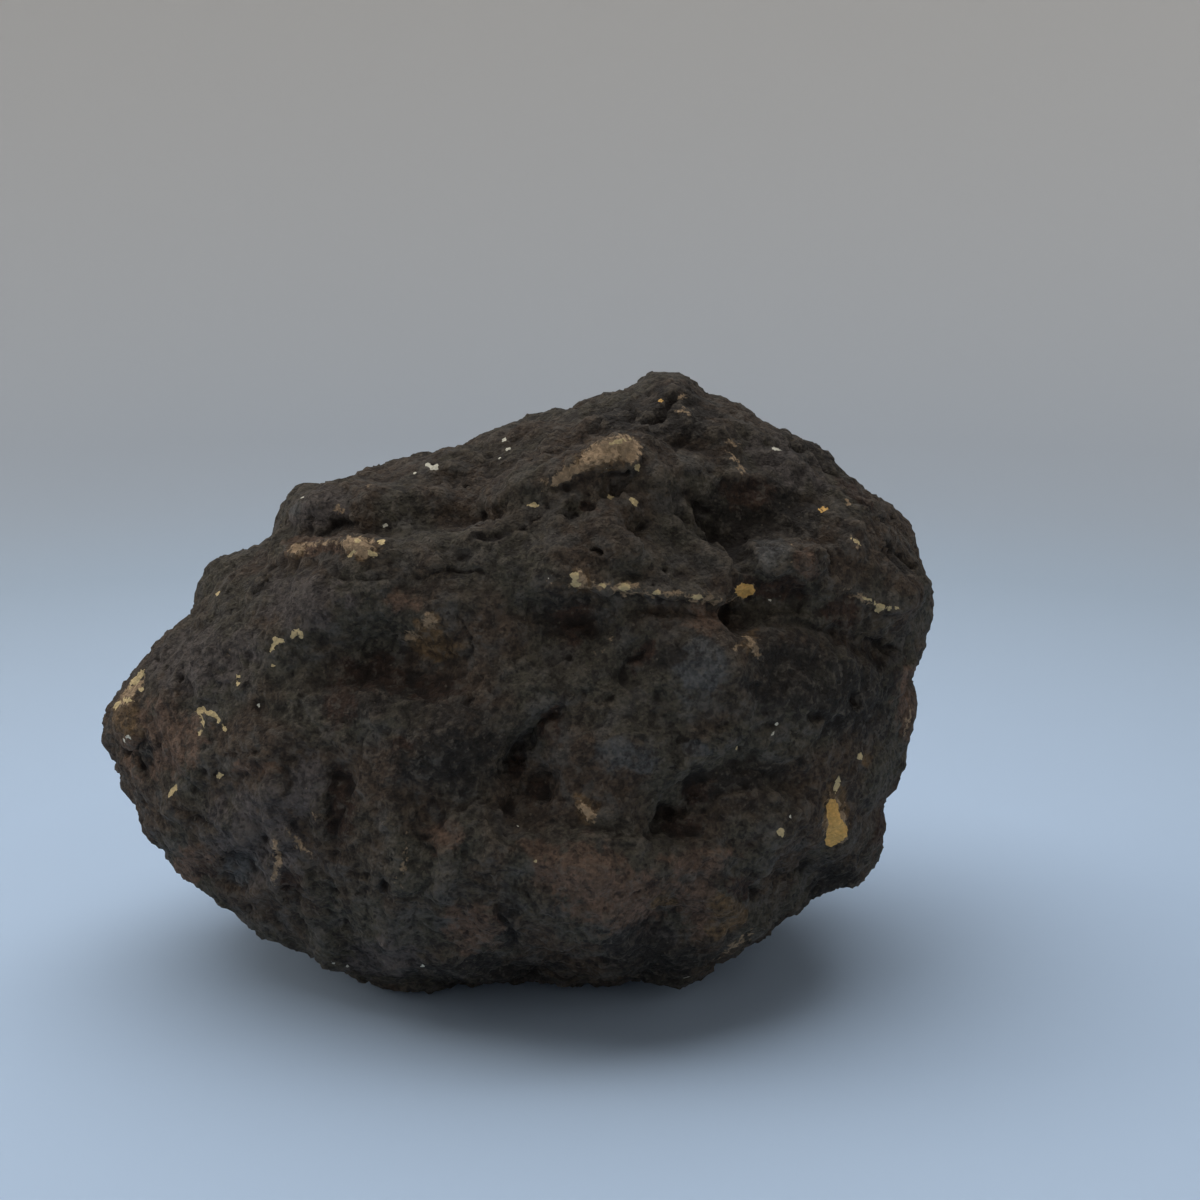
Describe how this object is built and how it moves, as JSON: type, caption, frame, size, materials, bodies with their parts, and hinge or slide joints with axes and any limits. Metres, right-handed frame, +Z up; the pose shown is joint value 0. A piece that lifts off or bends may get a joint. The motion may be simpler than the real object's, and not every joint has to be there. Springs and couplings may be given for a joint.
{
  "type": "unopened geode",
  "caption": "Rough egg-shaped stone with a dark, lumpy, pitted crust, pointed at one end and ridged at the top, resting on a small flat spot underneath.",
  "frame": {"origin": "on the resting surface, under the middle of the stone's bounding box", "axes": "+X along the stone's long axis toward its blunt end, -Y toward the viewer of the picture, +Z up"},
  "size_m": [0.1095, 0.0886, 0.0781],
  "materials": {
    "weathered_crust": "matte, granular dark brown-grey weathering crust with small pits and cream and ochre mineral flecks"
  },
  "bodies": {
    "root": {"geode_stone": "weathered_crust"}
  },
  "joints": []
}
